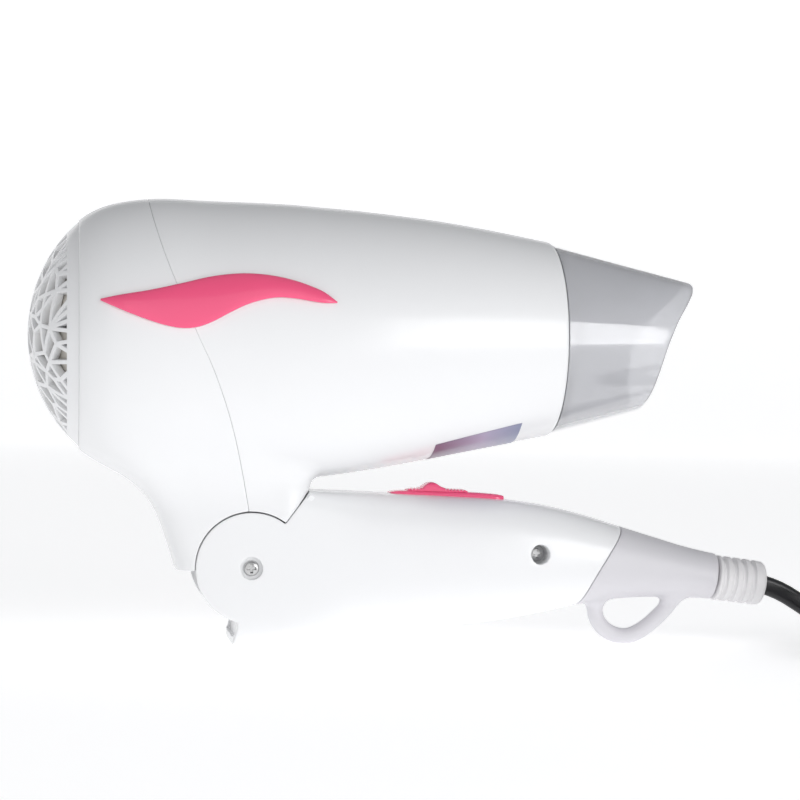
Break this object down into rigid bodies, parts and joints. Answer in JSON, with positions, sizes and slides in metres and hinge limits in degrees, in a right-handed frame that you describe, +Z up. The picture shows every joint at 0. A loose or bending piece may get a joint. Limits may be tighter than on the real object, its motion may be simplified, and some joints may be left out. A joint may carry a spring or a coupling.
{
  "type": "folding hair dryer",
  "caption": "Compact hair dryer with a domed slatted inlet, a slanted clear nozzle and a handle that folds under the barrel, with its mains lead coiled beside it.",
  "frame": {"origin": "centre of the bounding box's bottom, without the mains lead: the dryer stands folded on the heel of its handle and on its hanging loop", "axes": "+X along the barrel towards the outlet, +Y to the dryer's left, +Z up"},
  "size_m": [0.3267, 0.1302, 0.134],
  "materials": {
    "white_plastic": "polished white",
    "pink_plastic": "polished pink",
    "smoke_plastic": "clear smoke-grey plastic",
    "sleeve_grey": "soft satin grey",
    "relief_grey": "matt grey, ribbed",
    "beige_plastic": "heat-proof moulding",
    "black_plastic": "satin black",
    "cord_black": "satin black sheath",
    "label_foil": "printed film, mauve to blue-grey",
    "mica": "mica board",
    "steel": "plated steel",
    "brass": "plain brass",
    "nylon": "natural nylon",
    "wire_red": "insulated wire",
    "wire_blue": "insulated wire"
  },
  "bodies": {
    "handle": {"handle_shell_right": "white_plastic", "handle_shell_left": "white_plastic", "handle_screw": "steel", "end_sleeve": "sleeve_grey", "strain_relief": "relief_grey", "switch_plate": "pink_plastic", "switch_body": "black_plastic", "cord_clamp": "nylon", "live_lead": "wire_red", "neutral_lead": "wire_blue", "hinge_axle": "steel", "hinge_washer_right": "nylon", "hinge_washer_left": "nylon", "pivot_screw_right": "steel", "pivot_screw_left": "steel", "mains_cord": "cord_black", "cord_coil": "cord_black", "cord_tie": "black_plastic", "plug_body": "black_plastic", "plug_pin_left": "brass", "plug_pin_right": "brass"},
    "head": {"front_housing": "white_plastic", "rear_housing": "white_plastic", "rear_grille": "white_plastic", "leaf_trim_right": "pink_plastic", "leaf_trim_left": "pink_plastic", "rating_label": "label_foil", "front_guard": "beige_plastic", "heat_shield": "mica", "mica_cross": "mica", "heating_coil": "steel", "thermostat": "steel", "thermal_fuse": "nylon", "motor": "steel", "motor_mount": "beige_plastic", "hinge_knuckle": "white_plastic"},
    "fan": {"fan_impeller": "black_plastic", "motor_shaft": "steel"},
    "nozzle": {"outlet_nozzle": "smoke_plastic"},
    "slider": {"switch_slider": "pink_plastic"}
  },
  "joints": [
    {"name": "fold_hinge", "type": "hinge", "parent": "handle", "child": "head", "pos_m": [-0.04808, 0, 0.02339], "axis": [0, -1, 0], "range_deg": [0, 73]},
    {"name": "fan_spin", "type": "hinge", "parent": "head", "child": "fan", "pos_m": [-0.00021, 0, 0.09393], "axis": [0.9997, 0, 0.0234], "continuous": true},
    {"name": "nozzle_turn", "type": "hinge", "parent": "head", "child": "nozzle", "pos_m": [-0.00021, 0, 0.09393], "axis": [0.9997, 0, 0.0234], "continuous": true},
    {"name": "switch_slide", "type": "slide", "parent": "handle", "child": "slider", "axis": [0.9999, 0, -0.0128], "range_m": [0, 0.01]}
  ]
}
